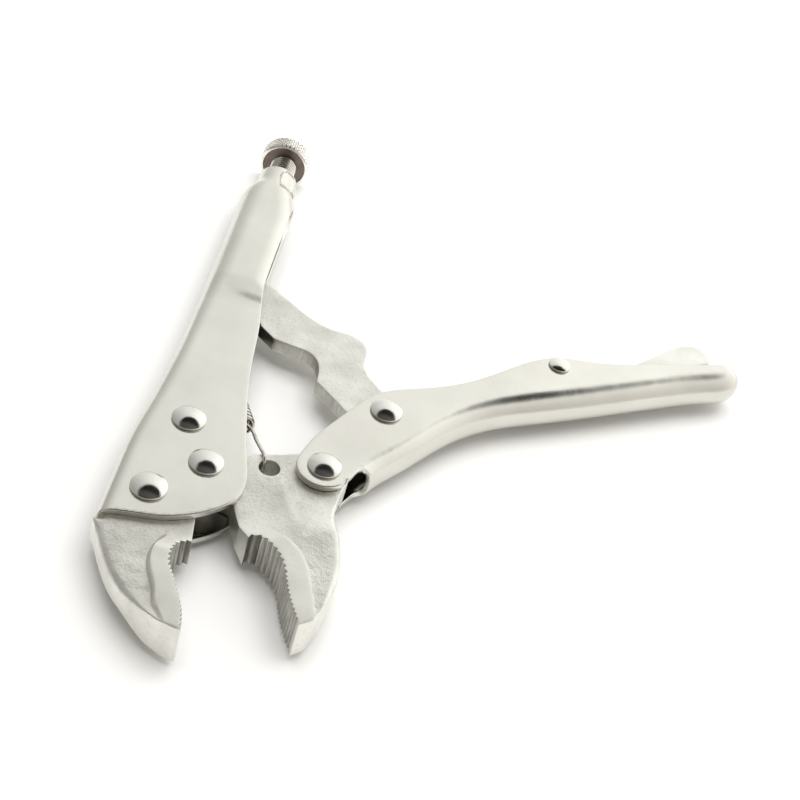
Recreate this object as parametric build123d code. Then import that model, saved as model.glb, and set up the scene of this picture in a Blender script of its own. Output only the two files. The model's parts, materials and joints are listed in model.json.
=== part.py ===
from build123d import *
import math
import os

# Locking pliers with curved jaws, shown with the jaws open.
# The working frame has the jaw pivot at (0, 0), +Y along the adjusting screw towards its knob,
# +X from the fixed handle towards the movable one, and Z = 0 in the middle of the handles' thickness.
# The last section moves everything so that the origin is the middle of the base of the whole tool.

# Driving dimensions, mm
SHEET = 2.0  # thickness of the handles' steel sheet
CHANNEL_HALF = 6.65  # half the thickness of a folded handle, over its two plates
LEVER_HALF = 7.3  # half the thickness of the movable handle from the release lever on, where it is rounder
GAP_HALF = CHANNEL_HALF - SHEET  # half the gap between the two plates
SIDE_PLAY = 0.2  # air on each side of a forged piece between two plates
PIN_PLAY = 0.05  # radial air between a rivet and what turns on it
PAD_HALF = 6.9  # half the width of the jaws' teeth
LINK_HALF = 2.5  # half the thickness of the toggle link and of the release lever

JAW_PIVOT = (0.0, 0.0)
HANDLE_PIVOT = (33.9, 11.8)
LINK_PIVOT = (48.4, 43.7)
LEVER_PIVOT = (103.4, 90.5)
JAW_RIVET_REAR = (-9.4, 16.1)
JAW_RIVET_FRONT = (-13.0, -15.4)

RIVET_SHANK = 3.0  # radii
RIVET_HEAD = 5.3
SMALL_SHANK = 2.2
SMALL_HEAD = 3.8
RIVET_RIM = 0.8  # height of a head's straight rim, under its dome
RIVET_DOME = 1.5
RIVET_TAIL = 1.3  # how far the peened end stands out of the far plate

SCREW_X = -11.8  # the screw's axis, parallel to Y
SCREW_RADIUS = 4.95  # M10
SCREW_PITCH = 1.5
NOSE_Y = 106.4
NOSE_LENGTH = 2.0
NOSE_RADIUS = 3.6
NECK_RADIUS = 7.5
NECK_START_Y = 152.5
NECK_END_Y = 165.5
KNOB_Y = 175.5
KNOB_LENGTH = 6.8
KNOB_RADIUS = 9.7

TUBE_START_Y = 92.0  # where the fixed handle has become round
TUBE_HALF = 7.9
MOUTH_END_Y = 139.0  # where the fixed handle's open side ends
LINK_END = (-11.8, 99.5)

WIRE_RADIUS = 0.55
SPRING_RADIUS = 4.1  # of the coil, over its wire
SPRING_FRONT = Vector(6.1, 24.4)  # the coil's two ends, on its axis
SPRING_REAR = Vector(-11.0, 62.0)
SPRING_HOLE = (18.1, 7.2)  # through the moving jaw, for the front hook
SPRING_HOLE_RADIUS = 3.35
SPRING_ANCHOR = (-20.6, 66.0)  # through the fixed handle's spine, for the rear hook

CUT_HALF = 20.0  # half the height of a body that cuts through the whole thickness
PART_COLOUR = Color(0.78, 0.77, 0.74)


def along_y(x, y, z=0.0):
    """A plane facing +Y, with its first axis along +X."""
    return Plane(origin=(x, y, z), x_dir=(1, 0, 0), z_dir=(0, 1, 0))


def prism(outline, half):
    """The outline, drawn on Z = 0, made solid to the same height on both sides."""
    return extrude(outline, half, both=True)


def cylinder_z(centre, radius, half):
    return prism(Pos(*centre) * Circle(radius), half)


def closed_outline(*edges):
    return make_face(Curve() + list(edges))


def lofted(sections):
    return loft(Sketch() + list(sections), ruled=True)


def dome_arc(radius, base, height):
    """A spherical dome in profile, from its rim at (radius, base) to its top on the axis."""
    sphere = (radius**2 + height**2) / (2 * height)
    middle = radius / 2
    middle_height = base + height - sphere + math.sqrt(sphere**2 - middle**2)
    return ThreePointArc((radius, base), (middle, middle_height), (0, base + height))


def channel_section(spine_x, far_x, y, half, radius):
    """A rounded rectangle across the handle, from its spine to beyond its open side."""
    middle = (spine_x + far_x) / 2
    return along_y(middle, y) * RectangleRounded(far_x - spine_x, 2 * half, radius)


# Fixed handle: one sheet folded into a channel, round at the rear, with a tapped neck

# Y, X of the spine, half thickness, fold radius, X beyond the open side
FIXED_STATIONS = [
    (-32.0, -24.8, CHANNEL_HALF, 4.5, 18.0),
    (0.0, -25.0, CHANNEL_HALF, 4.6, 18.0),
    (30.0, -22.9, CHANNEL_HALF, 5.0, 17.0),
    (58.0, -21.7, CHANNEL_HALF, 5.4, 16.0),
    (80.0, -21.8, CHANNEL_HALF, 6.2, 14.0),
    (TUBE_START_Y, -21.9, TUBE_HALF, 7.7, 1.5),
    (115.0, -22.1, TUBE_HALF, 7.8, 1.3),
    (MOUTH_END_Y, -22.3, TUBE_HALF, 7.8, 1.2),
]

FIXED_EDGE = [
    (-26.5, -29.2),
    (-18.1, -26.9),
    (-7.1, -24.9),
    (0.7, -21.5),
    (8.1, -15.8),
    (12.0, -10.2),
    (13.0, -3.6),
    (11.2, 5.7),
    (7.3, 22.5),
    (3.3, 45.6),
    (0.7, 71.4),
    (-1.6, 86.0),
    (-2.1, 98.0),
    (-2.0, MOUTH_END_Y),
]


def fixed_channel(inset):
    sections = [
        channel_section(x + inset, far, y, half - inset, radius - inset * 0.98)
        for y, x, half, radius, far in FIXED_STATIONS
    ]
    return lofted(sections)


def shoulder(inset):
    """The closed stretch that narrows from the tube to the neck."""
    stations = [
        (MOUTH_END_Y, -22.3, -1.9, TUBE_HALF, 7.8),
        (144.0, -21.7, -2.3, TUBE_HALF, 7.8),
        (149.0, -20.2, -3.7, 7.6, 7.5),
        (NECK_START_Y, SCREW_X - NECK_RADIUS, SCREW_X + NECK_RADIUS, NECK_RADIUS, 7.45),
    ]
    return lofted(
        channel_section(x + inset, far - inset, y, half - inset, radius - inset)
        for y, x, far, half, radius in stations
    )


def fixed_handle():
    edge = Spline(*FIXED_EDGE)
    trim = closed_outline(
        edge, Polyline((-2.0, MOUTH_END_Y), (-40, MOUTH_END_Y), (-40, -29.2), (-26.5, -29.2))
    )
    channel = (fixed_channel(0) - fixed_channel(SHEET)) & prism(trim, CUT_HALF)
    neck = along_y(SCREW_X, NECK_START_Y) * extrude(Circle(NECK_RADIUS), NECK_END_Y - NECK_START_Y)
    rear = shoulder(0) - shoulder(SHEET)
    body = channel + rear + neck
    bore = along_y(SCREW_X, MOUTH_END_Y) * extrude(Circle(SCREW_RADIUS + PIN_PLAY), 40)
    body -= bore
    for centre in (JAW_PIVOT, JAW_RIVET_REAR, JAW_RIVET_FRONT):
        body -= cylinder_z(centre, RIVET_SHANK + PIN_PLAY, CUT_HALF)
    body -= spring_anchor_hole()
    return body


# Jaws


def toothed(edge, count, depth):
    """Saw teeth along an edge: each rises to the edge and drops back by depth, to its left."""
    points = []
    for i in range(count):
        root = edge @ ((i + 0.7) / count)
        inward = (edge % ((i + 0.7) / count)).rotate(Axis.Z, 90)
        points += [edge @ (i / count), root + inward * depth]
    points.append(edge @ 1)
    return Polyline(*points)


def fixed_jaw_outline():
    hook = Spline((3.6, -29.6), (0.6, -31.6), (-0.5, -35.2), (-0.5, -38.0), (0.6, -41.6))
    reach = Spline((0.6, -41.6), (4.6, -49.0), (7.3, -55.2), (8.7, -62.0))
    back = Spline(
        (8.7, -62.0), (4.6, -61.2), (-4.4, -56.7), (-13.4, -49.0), (-20.0, -39.1), (-24.8, -29.9)
    )
    shoulder_line = Polyline((-24.8, -29.9), (-21.1, -28.8), (-20.9, -18.0), (-19.5, 10.0), (-18.6, 24.0))
    top = Line((-18.6, 24.0), (-3.0, 24.0))
    pocket = Polyline((-3.0, 24.0), (-3.0, 12.0), (-7.0, 7.5))
    hub = ThreePointArc((-7.0, 7.5), (-10.2, 0.3), (-8.2, -6.2))
    throat = Polyline((-8.2, -6.2), (2.2, -19.5), (3.6, -29.6))
    return closed_outline(
        toothed(hook, 8, -0.85), toothed(reach, 15, -0.6), back, shoulder_line, top, pocket, hub, throat
    )


def fixed_jaw_pad():
    """The ground pad beside the teeth, wider than the web of the jaw."""
    return closed_outline(
        Spline(
            (-4.5, -30.5),
            (-6.2, -36.0),
            (-5.1, -43.2),
            (-2.2, -49.5),
            (0.0, -56.0),
            (3.0, -60.2),
            (4.0, -66.0),
        ),
        Polyline((4.0, -66.0), (20.0, -66.0), (20.0, -26.0), (0.0, -27.0), (-4.5, -30.5)),
    )


def padded_jaw(outline, pad, web_half):
    solid = prism(outline, web_half)
    raised = extrude(pad, PAD_HALF) + mirror(extrude(pad, PAD_HALF), Plane.XY)
    return solid + (raised & prism(outline, CUT_HALF))


def fixed_jaw():
    jaw = padded_jaw(fixed_jaw_outline(), fixed_jaw_pad(), GAP_HALF - 0.05)
    for centre in (JAW_RIVET_REAR, JAW_RIVET_FRONT):
        jaw -= cylinder_z(centre, RIVET_SHANK + PIN_PLAY, CUT_HALF)
    return jaw


def moving_jaw_outline():
    tip = Polyline((38.2, -50.0), (41.6, -47.2))
    back = Spline((41.6, -47.2), (44.6, -38.0), (45.9, -29.0), (44.9, -19.5), (42.4, -10.5), (40.6, -4.0),
                  (41.2, 8.0))
    ear = ThreePointArc((41.2, 8.0), (39.6, 17.6), (30.5, 19.2))
    top = Polyline((30.5, 19.2), (20.0, 14.0), (9.0, 10.2), (4.0, 8.7))
    hub = ThreePointArc((4.0, 8.7), (-9.1, -3.0), (6.4, -7.1))
    side = Polyline((6.4, -7.1), (10.2, -8.2), (12.4, -14.1), (14.8, -19.3), (18.4, -23.6))
    hook = Spline((18.4, -23.6), (19.6, -22.4), (24.7, -24.2), (28.6, -28.3), (31.0, -33.6))
    reach = Spline((31.0, -33.6), (33.6, -41.0), (36.2, -46.3), (38.2, -50.0))
    return closed_outline(tip, back, ear, top, hub, side, toothed(hook, 9, 0.85), toothed(reach, 11, 0.6))


def moving_jaw_pad():
    return closed_outline(
        Spline((19.0, -17.5), (27.0, -19.5), (34.5, -25.5), (38.2, -33.5), (40.6, -41.0), (43.5, -50.0)),
        Polyline((43.5, -50.0), (30.0, -56.0), (20.4, -40.0), (20.4, -20.0), (19.0, -17.5)),
    )


def moving_jaw():
    jaw = padded_jaw(moving_jaw_outline(), moving_jaw_pad(), GAP_HALF - SIDE_PLAY)
    for centre in (JAW_PIVOT, HANDLE_PIVOT):
        jaw -= cylinder_z(centre, RIVET_SHANK + PIN_PLAY, CUT_HALF)
    jaw -= cylinder_z(SPRING_HOLE, SPRING_HOLE_RADIUS, CUT_HALF)
    return jaw


# Movable handle: a folded channel with two ears at the front and a closed, rounded end

# X and Y of the spine's outer line, direction of the handle, half thickness, fold radius
MOVABLE_STATIONS = [
    (40.0, -10.5, 56.0, CHANNEL_HALF, 5.0),
    (48.8, 15.2, 56.0, CHANNEL_HALF, 5.0),
    (57.6, 28.0, 55.0, CHANNEL_HALF, 5.2),
    (71.4, 46.9, 51.0, CHANNEL_HALF, 5.6),
    (84.6, 59.2, 38.0, 6.9, 6.4),
    (101.4, 69.5, 32.5, LEVER_HALF, 7.1),
    (122.6, 82.2, 31.5, LEVER_HALF, 7.2),
    (145.5, 96.4, 31.5, LEVER_HALF, 7.2),
    (160.5, 104.9, 30.0, LEVER_HALF, 7.2),
    (166.0, 107.6, 30.0, 6.9, 6.8),
    (170.2, 109.6, 30.0, 5.2, 5.1),
    (172.6, 110.7, 30.0, 2.7, 2.6),
]
CHANNEL_REACH = 44.0  # from the spine to beyond the open side


def movable_channel(inset, stations):
    sections = []
    for x, y, heading, half, radius in stations:
        across = Vector(math.cos(math.radians(heading + 90)), math.sin(math.radians(heading + 90)))
        forward = (math.cos(math.radians(heading)), math.sin(math.radians(heading)), 0)
        middle = Vector(x, y) + across * (CHANNEL_REACH / 2 + inset / 2)
        plane = Plane(origin=middle, x_dir=across, z_dir=forward)
        fold = max(radius - inset * 0.98, 0.3)
        sections.append(plane * RectangleRounded(CHANNEL_REACH - inset, 2 * (half - inset), fold))
    return lofted(sections)


def movable_handle_outline():
    ear = ThreePointArc((42.1, 9.9), (32.9, 3.3), (25.4, 12.8))
    front = Spline((25.4, 12.8), (27.6, 21.0), (35.8, 37.7), (44.5, 51.4), (60.7, 61.1), (76.8, 72.4),
                   (93.1, 88.5), (103.6, 95.2), (114.5, 97.7), (132.8, 104.0), (155.5, 115.5), (165.2, 122.5))
    end = ThreePointArc((165.2, 122.5), (172.4, 119.4), (168.0, 107.6))
    under = Polyline((168.0, 107.6), (161.0, 100.0), (100.0, 60.0), (60.0, 20.0), (51.0, 9.5), (47.0, 13.4))
    notch = ThreePointArc((47.0, 13.4), (44.2, 13.4), (42.1, 9.9))
    return closed_outline(ear, front, end, under, notch)


def movable_handle():
    outer = movable_channel(0, MOVABLE_STATIONS)
    inner = movable_channel(SHEET, MOVABLE_STATIONS) & prism(movable_end_stop(), CUT_HALF)
    body = (outer - inner) & prism(movable_handle_outline(), CUT_HALF)
    for centre in (HANDLE_PIVOT, LINK_PIVOT):
        body -= cylinder_z(centre, RIVET_SHANK + PIN_PLAY, CUT_HALF)
    body -= cylinder_z(LEVER_PIVOT, SMALL_SHANK + PIN_PLAY, CUT_HALF)
    return body


def movable_end_stop():
    """Where the hollow of the movable handle ends, short of its closed end."""
    return closed_outline(
        Polyline((0, -20), (150, 60), (163.6, 103.6)),
        ThreePointArc((163.6, 103.6), (169.4, 112.0), (165.6, 119.0)),
        Polyline((165.6, 119.0), (158.0, 140.0), (0, 140), (0, -20)),
    )


# Toggle link and release lever


def toggle_link():
    end_x, end_y = LINK_END
    nose = ThreePointArc(
        (end_x - 2.6, end_y - 3.0), (end_x - 1.2, end_y + 3.8), (end_x + 2.4, end_y + 3.2)
    )
    upper = Spline((end_x + 2.4, end_y + 3.2), (-2.1, 97.8), (7.6, 90.9), (15.9, 85.3), (23.6, 82.3),
                   (30.7, 82.1))
    bump = Spline((30.7, 82.1), (34.5, 80.6), (37.4, 77.2), (38.0, 73.5), (37.9, 69.5), (40.8, 62.7),
                  (46.6, 57.0), (54.6, 48.0))
    ear = ThreePointArc((54.6, 48.0), (51.3, 36.8), (42.2, 39.3))
    under = Polyline((42.2, 39.3), (36.5, 42.6), (24.2, 53.8))
    waist = Spline((24.2, 53.8), (23.9, 59.5), (20.7, 65.9), (14.5, 67.6), (6.8, 68.8))
    belly = Polyline((6.8, 68.8), (1.2, 73.5), (-4.0, 83.0), (end_x - 2.6, end_y - 3.0))
    bar = prism(closed_outline(nose, upper, bump, ear, under, waist, belly), LINK_HALF)
    hub = cylinder_z(LINK_PIVOT, 7.0, GAP_HALF - SIDE_PLAY)
    return bar + hub - cylinder_z(LINK_PIVOT, RIVET_SHANK + PIN_PLAY, CUT_HALF)


def release_lever():
    outline = closed_outline(
        Spline((84.5, 73.5), (90.0, 79.5), (98.0, 87.5), (103.0, 93.6), (112.0, 96.0), (124.0, 102.5),
               (136.0, 113.5), (142.8, 122.9), (150.2, 130.4), (156.6, 132.9), (160.0, 129.2)),
        Spline((160.0, 129.2), (157.6, 126.8), (150.0, 118.5), (138.0, 106.0), (120.0, 93.5), (106.0, 86.2),
               (95.0, 79.5), (87.5, 71.5), (84.5, 73.5)),
    )
    hub = cylinder_z(LEVER_PIVOT, 4.2, GAP_HALF - SIDE_PLAY)
    return prism(outline, LINK_HALF) + hub - cylinder_z(LEVER_PIVOT, SMALL_SHANK + PIN_PLAY, CUT_HALF)


# Fasteners


def rivet(centre, shank, head, top=CHANNEL_HALF):
    """A domed head on the near side, and a flattened, peened tail on the far side."""
    rim = top + RIVET_RIM
    tail = -top - RIVET_TAIL
    profile = closed_outline(
        Polyline((0, rim + RIVET_DOME), (0, tail), (head * 0.62, tail), (head * 0.92, -top),
                 (shank, -top), (shank, top), (head, top), (head, rim)),
        dome_arc(head, rim, RIVET_DOME),
    )
    return Pos(*centre) * revolve(Plane.XZ * profile, Axis.Z)


# Adjusting screw, its knob and its nose


def adjusting_screw():
    """A threaded shank: one V-shaped ridge for each turn of the thread."""
    crest = SCREW_RADIUS
    root = crest - 0.61 * SCREW_PITCH
    start = NOSE_Y + NOSE_LENGTH
    points = [(0, start), (root, start)]
    for turn in range(int((KNOB_Y - start) / SCREW_PITCH)):
        y = start + turn * SCREW_PITCH
        points += [(root, y + 0.12 * SCREW_PITCH), (crest, y + 0.5 * SCREW_PITCH),
                   (crest, y + 0.62 * SCREW_PITCH), (root, y + SCREW_PITCH)]
    points += [(root, KNOB_Y), (0, KNOB_Y), (0, start)]
    return Pos(SCREW_X, 0) * revolve(make_face(Polyline(*points)), Axis.Y)


def adjusting_knob():
    r, bevel, end = KNOB_RADIUS, 0.8, KNOB_Y + KNOB_LENGTH
    profile = Polyline(
        (0, KNOB_Y), (r - bevel, KNOB_Y), (r, KNOB_Y + bevel), (r, end - bevel), (r - bevel, end),
        (r - 3.0, end), (r - 4.0, end - 0.8), (0, end - 0.8), (0, KNOB_Y),
    )
    return Pos(SCREW_X, 0) * revolve(make_face(profile), Axis.Y)


def screw_nose():
    profile = closed_outline(
        Polyline((0, NOSE_LENGTH), (0, 0), (NOSE_RADIUS, 0)), dome_arc(NOSE_RADIUS, 0, NOSE_LENGTH)
    )
    nose = revolve(profile, Axis.Y)
    return Pos(SCREW_X, NOSE_Y + NOSE_LENGTH) * mirror(nose, Plane.XZ)


# Jaw spring: a tension coil with a hook at each end


def spring_anchor_hole():
    """A small hole through the spine, which holds the rear hook."""
    x, y = SPRING_ANCHOR
    return Plane(origin=(x + 4, y, 0), z_dir=(-1, 0, 0)) * extrude(Circle(WIRE_RADIUS + 0.35), 10)


def wire(points, bends):
    path = FilletPolyline(*points, radius=bends)
    start = Plane(origin=path @ 0, z_dir=path % 0)
    return sweep(start * Circle(WIRE_RADIUS), path)


def jaw_spring():
    """The coil is a closed-wound tube of wire; the two hooks leave it at its axis."""
    axis = SPRING_REAR - SPRING_FRONT
    end = Plane(origin=SPRING_FRONT, z_dir=axis)
    coil = end * extrude(Circle(SPRING_RADIUS) - Circle(SPRING_RADIUS - 2 * WIRE_RADIUS), axis.length)
    caps = [
        end * extrude(Circle(SPRING_RADIUS - 0.2), 2 * WIRE_RADIUS),
        Plane(origin=SPRING_REAR, z_dir=-axis) * extrude(Circle(SPRING_RADIUS - 0.2), 2 * WIRE_RADIUS),
    ]
    along = axis.normalized()
    hole_x, hole_y = SPRING_HOLE
    front = wire([(8.0, 27.4, 1.4), (hole_x - 2.6, hole_y + 6.4, 5.4), (hole_x - 0.5, hole_y + 1.9, 5.3),
                  (hole_x, hole_y + 0.6, 1.0)], 0.8)
    anchor_x, anchor_y = SPRING_ANCHOR
    rear = wire([SPRING_REAR - along * 0.6, SPRING_REAR + along * 3.0, (anchor_x + 5.0, anchor_y, 0),
                 (anchor_x - 0.6, anchor_y, 0)], 1.2)
    return coil + caps + front + rear


# Every piece, moved to the base frame and written out


def build():
    return {
        "fixed_handle": fixed_handle(),
        "fixed_jaw": fixed_jaw(),
        "fixed_jaw_rear_rivet": rivet(JAW_RIVET_REAR, RIVET_SHANK, RIVET_HEAD),
        "fixed_jaw_front_rivet": rivet(JAW_RIVET_FRONT, RIVET_SHANK, RIVET_HEAD + 0.2),
        "jaw_pivot_rivet": rivet(JAW_PIVOT, RIVET_SHANK, RIVET_HEAD),
        "moving_jaw": moving_jaw(),
        "handle_pivot_rivet": rivet(HANDLE_PIVOT, RIVET_SHANK, RIVET_HEAD),
        "movable_handle": movable_handle(),
        "link_pivot_rivet": rivet(LINK_PIVOT, RIVET_SHANK, RIVET_HEAD),
        "toggle_link": toggle_link(),
        "release_lever": release_lever(),
        "release_lever_rivet": rivet(LEVER_PIVOT, SMALL_SHANK, SMALL_HEAD, LEVER_HALF),
        "adjusting_screw": adjusting_screw(),
        "adjusting_knob": adjusting_knob(),
        "screw_nose": screw_nose(),
        "jaw_spring": jaw_spring(),
    }


def main():
    parts = build()
    box = Compound(children=[Part() + part for part in parts.values()]).bounding_box()
    shift = Pos(-(box.min.X + box.max.X) / 2, -(box.min.Y + box.max.Y) / 2, -box.min.Z)
    os.makedirs("parts", exist_ok=True)
    for name, part in parts.items():
        placed = shift * part
        placed.label = name
        placed.color = PART_COLOUR
        export_step(placed, f"parts/{name}.step")
    print("size", box.size)
    print("jaw pivot in the base frame", shift.position)


main()
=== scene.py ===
import json
import math

import bpy
import numpy as np
from mathutils import Matrix, Vector, noise
from mathutils.geometry import delaunay_2d_cdt


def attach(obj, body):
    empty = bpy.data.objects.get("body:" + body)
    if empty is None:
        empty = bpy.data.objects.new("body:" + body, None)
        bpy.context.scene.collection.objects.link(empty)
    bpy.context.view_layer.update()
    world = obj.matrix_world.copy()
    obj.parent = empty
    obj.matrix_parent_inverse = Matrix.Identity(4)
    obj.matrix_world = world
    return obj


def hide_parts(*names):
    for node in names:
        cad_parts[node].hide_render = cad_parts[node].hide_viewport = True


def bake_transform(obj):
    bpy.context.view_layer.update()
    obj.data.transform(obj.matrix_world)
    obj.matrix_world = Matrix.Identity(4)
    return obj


# Locking pliers. Every piece is worked out in millimetres in the working frame of the CAD part:
# the jaw pivot at (0, 0), +Y along the adjusting screw, Z = 0 in the middle of the thickness.

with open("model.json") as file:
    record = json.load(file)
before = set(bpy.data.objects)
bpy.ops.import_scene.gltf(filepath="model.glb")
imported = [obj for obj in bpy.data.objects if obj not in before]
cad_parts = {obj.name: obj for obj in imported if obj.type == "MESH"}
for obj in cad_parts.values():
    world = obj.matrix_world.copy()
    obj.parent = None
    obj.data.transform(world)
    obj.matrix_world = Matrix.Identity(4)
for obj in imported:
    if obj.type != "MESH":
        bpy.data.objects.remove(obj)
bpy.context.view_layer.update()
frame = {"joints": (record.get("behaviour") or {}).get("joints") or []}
PIVOT = next(j for j in frame["joints"] if j["name"] == "jaw_pivot")["pos_m"]
OFFSET = np.array(PIVOT, float)
MM = 0.001

# thickness of the sheet, and half the outside widths and the inside width of the channels
SHEET = 2.0
CHANNEL_HALF = 6.65
PLATE_GAP = CHANNEL_HALF - SHEET
LEVER_HALF = 7.3
# half the thickness of the link's and the lever's bars
LINK_HALF = 2.5
# the screw's axis
SCREW_X = -11.8
RIVET_HOLE = 3.1
LEVER_HOLE = 2.3
SPRING_HOLE_RADIUS = 3.35
SHEET_ROUNDING = 0.35

JAW_PIVOT = (0.0, 0.0)
HANDLE_PIVOT = (33.9, 11.8)
LINK_PIVOT = (48.4, 43.7)
LEVER_PIVOT = (103.4, 90.5)
JAW_RIVET_REAR = (-9.4, 16.1)
JAW_RIVET_FRONT = (-13.0, -15.4)
SPRING_HOLE = (18.1, 7.2)
SPRING_ANCHOR = (-20.6, 66.0)
SPRING_FRONT = (6.7, 25.2, 0.0)
SPRING_REAR = (-11.9, 61.4, 0.0)


# ---------------------------------------------------------------- plane curves


def spline(points, step=0.7):
    """A natural cubic spline through the points, sampled about every step."""
    p = np.array(points, float)
    t = np.concatenate([[0], np.cumsum(np.linalg.norm(np.diff(p, axis=0), axis=1))])
    n, h = len(t), np.diff(t)
    left, right = np.eye(n), np.zeros_like(p)
    for i in range(1, n - 1):
        left[i, i - 1 : i + 2] = [h[i - 1], 2 * (h[i - 1] + h[i]), h[i]]
        right[i] = 6 * ((p[i + 1] - p[i]) / h[i] - (p[i] - p[i - 1]) / h[i - 1])
    m = np.linalg.solve(left, right)
    u = np.linspace(0, t[-1], max(2, round(t[-1] / step) + 1))
    i = np.clip(np.searchsorted(t, u, side="right") - 1, 0, n - 2)
    a = ((t[i + 1] - u) / h[i])[:, None]
    b = 1 - a
    bend = ((a**3 - a) * m[i] + (b**3 - b) * m[i + 1]) * (h[i] ** 2)[:, None] / 6
    return a * p[i] + b * p[i + 1] + bend


def line(*points, step=0.7):
    """Straight runs through the points, sampled about every step."""
    out = []
    for a, b in zip(points, points[1:]):
        a, b = np.array(a, float), np.array(b, float)
        count = max(1, round(np.linalg.norm(b - a) / step))
        out += [a + (b - a) * k / count for k in range(count)]
    return np.array(out + [points[-1]], float)


def arc(a, b, c, step=0.7):
    """The circular arc from a through b to c."""
    a, b, c = (complex(*p) for p in (a, b, c))
    w = (c - a) / (b - a)
    centre = (b - a) * (w - abs(w) ** 2) / (2j * w.imag) + a
    radius = abs(a - centre)
    start, middle, end = (math.atan2((p - centre).imag, (p - centre).real) for p in (a, b, c))
    ahead, beyond = (middle - start) % math.tau, (end - start) % math.tau
    sweep = beyond if ahead < beyond else beyond - math.tau
    count = max(2, round(abs(sweep) * radius / step))
    angles = start + sweep * np.linspace(0, 1, count + 1)
    return np.stack([centre.real + radius * np.cos(angles), centre.imag + radius * np.sin(angles)], 1)


def chain(*curves):
    """The curves joined into one loop or line, without repeated points."""
    out = []
    for curve in curves:
        for p in curve:
            if not out or np.linalg.norm(np.array(out[-1]) - p) > 0.02:
                out.append(tuple(p))
    if np.linalg.norm(np.array(out[0]) - out[-1]) < 0.02:
        out.pop()
    return np.array(out, float)


def toothed(points, count, depth):
    """Saw teeth along a curve: each rises to the curve and drops back by depth, to its left."""
    fine = spline(points, 0.05)
    length = np.concatenate([[0], np.cumsum(np.linalg.norm(np.diff(fine, axis=0), axis=1))])

    def at(share):
        s = share * length[-1]
        return np.array([np.interp(s, length, fine[:, k]) for k in (0, 1)])

    out = []
    for i in range(count):
        share = (i + 0.7) / count
        ahead = at(share + 0.01) - at(share - 0.01)
        left = np.array([-ahead[1], ahead[0]]) / np.linalg.norm(ahead)
        out += [at(i / count), at(share) + left * depth]
    return np.array(out + [at(1.0)])


def inside(points, loop):
    """Which points lie in the loop."""
    x, y = points[:, 0][:, None], points[:, 1][:, None]
    a, b = loop, np.roll(loop, -1, axis=0)
    spans = (a[:, 1] > y) != (b[:, 1] > y)
    rise = np.where(b[:, 1] == a[:, 1], 1e-12, b[:, 1] - a[:, 1])
    cross = (b[:, 0] - a[:, 0]) * (y - a[:, 1]) / rise + a[:, 0]
    return (np.sum(spans & (x < cross), axis=1) % 2).astype(bool)


def nearest(points, curve, closed=False):
    """Distance to a polyline, the segment, and the share along it."""
    a = curve if closed else curve[:-1]
    b = np.roll(curve, -1, axis=0) if closed else curve[1:]
    d = b - a
    t = np.einsum("nmk,mk->nm", points[:, None] - a, d) / np.maximum((d**2).sum(1), 1e-12)
    t = np.clip(t, 0, 1)
    gap = np.linalg.norm(points[:, None] - (a + t[..., None] * d), axis=2)
    k = gap.argmin(1)
    rows = np.arange(len(points))
    return gap[rows, k], k, t[rows, k]


def normals_2d(loop):
    """Unit normals of a loop of points, to its right: outward, if the loop runs anticlockwise."""
    ahead = np.roll(loop, -1, axis=0) - loop
    ahead /= np.maximum(np.linalg.norm(ahead, axis=1), 1e-9)[:, None]
    both = ahead + np.roll(ahead, 1, axis=0)
    both /= np.maximum(np.linalg.norm(both, axis=1), 1e-9)[:, None]
    return np.stack([both[:, 1], -both[:, 0]], 1)


def anticlockwise(loop):
    """The loop, turned round if it runs clockwise."""
    x, y = loop[:, 0], loop[:, 1]
    area = np.sum(x * np.roll(y, -1) - np.roll(x, -1) * y)
    return loop if area > 0 else loop[::-1].copy()


def hex_points(loop, spacing, clear=0.6):
    """A triangular grid of points inside the loop, clear of its edge."""
    low, high = loop.min(0), loop.max(0)
    rows = np.arange(low[1], high[1], spacing * 0.866)
    grid = []
    for k, y in enumerate(rows):
        xs = np.arange(low[0] + (k % 2) * spacing / 2, high[0], spacing)
        grid.append(np.stack([xs, np.full(len(xs), y)], 1))
    grid = np.concatenate(grid)
    grid = grid[inside(grid, loop)]
    gap, _, _ = nearest(grid, loop, closed=True)
    return grid[gap > spacing * clear]


def around_holes(points, holes, clear):
    """The points that lie outside every hole, and clear of its edge."""
    for hole in holes:
        gap, _, _ = nearest(points, hole, closed=True)
        points = points[(gap > clear) & ~inside(points, hole)]
    return points


def triangulated(loop, points, holes=()):
    """Triangles inside the loop that use its points, the extra points and the holes' edges."""
    coords = [Vector(p) for p in loop]
    edges = []
    for hole in holes:
        first = len(coords)
        coords += [Vector(p) for p in hole]
        edges += [(first + k, first + (k + 1) % len(hole)) for k in range(len(hole))]
    coords += [Vector(p) for p in points]
    got = delaunay_2d_cdt(coords, edges, [list(range(len(loop)))], 1, 1e-5, True)
    verts = np.array([tuple(v) for v in got[0]], float)
    tris = np.array([f for f in got[2] if len(f) == 3], int)
    centre = verts[tris].mean(1)
    keep = inside(centre, loop)
    for hole in holes:
        keep &= ~inside(centre, hole)
    tris = tris[keep]
    a, b, c = verts[tris[:, 0]], verts[tris[:, 1]], verts[tris[:, 2]]
    area = (b[:, 0] - a[:, 0]) * (c[:, 1] - a[:, 1]) - (b[:, 1] - a[:, 1]) * (c[:, 0] - a[:, 0])
    tris[area < 0] = tris[area < 0][:, ::-1]
    return verts, tris


def circle(centre, radius, count=32):
    """Points round a circle, anticlockwise."""
    angles = np.arange(count) * math.tau / count
    return np.stack([centre[0] + radius * np.cos(angles), centre[1] + radius * np.sin(angles)], 1)


def smooth(x):
    """An even rise from 0 at 0 to 1 at 1, flat beyond."""
    x = np.clip(x, 0, 1)
    return x * x * (3 - 2 * x)


# ---------------------------------------------------------------- meshes

# push outward and sink inward of the rows that round an edge, for a radius of one
ROUNDING = [(math.sin(a), 1 - math.cos(a)) for a in np.radians([22, 45, 68, 90])]


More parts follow.
